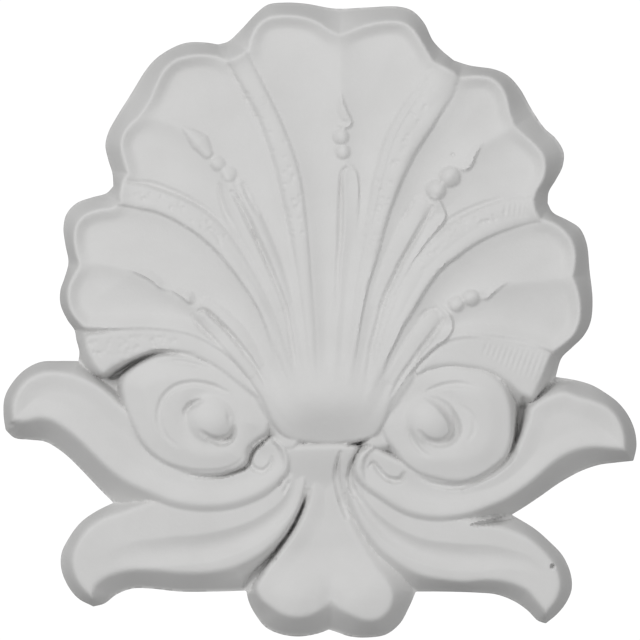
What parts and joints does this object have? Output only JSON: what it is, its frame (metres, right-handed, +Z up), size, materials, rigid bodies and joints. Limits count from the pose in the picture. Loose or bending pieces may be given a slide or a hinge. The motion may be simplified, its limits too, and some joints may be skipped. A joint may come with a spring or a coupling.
{
  "type": "shell onlay",
  "caption": "Cast decorative onlay: a lobed fan shell with ribs and darts over paired volutes, two pairs of curling leaves and a stem ending in a double drop, flat at the back.",
  "frame": {"origin": "on the flat back, on the upright centre line, at the middle of the height", "axes": "+Z up, the carved front faces -Y, the flat back faces +Y, +X to the right as seen from the front"},
  "size_m": [0.2196, 0.0214, 0.2195],
  "materials": {
    "primed_casting": "factory primed, matte off-white"
  },
  "bodies": {
    "root": {"shell_onlay": "primed_casting"}
  },
  "joints": []
}
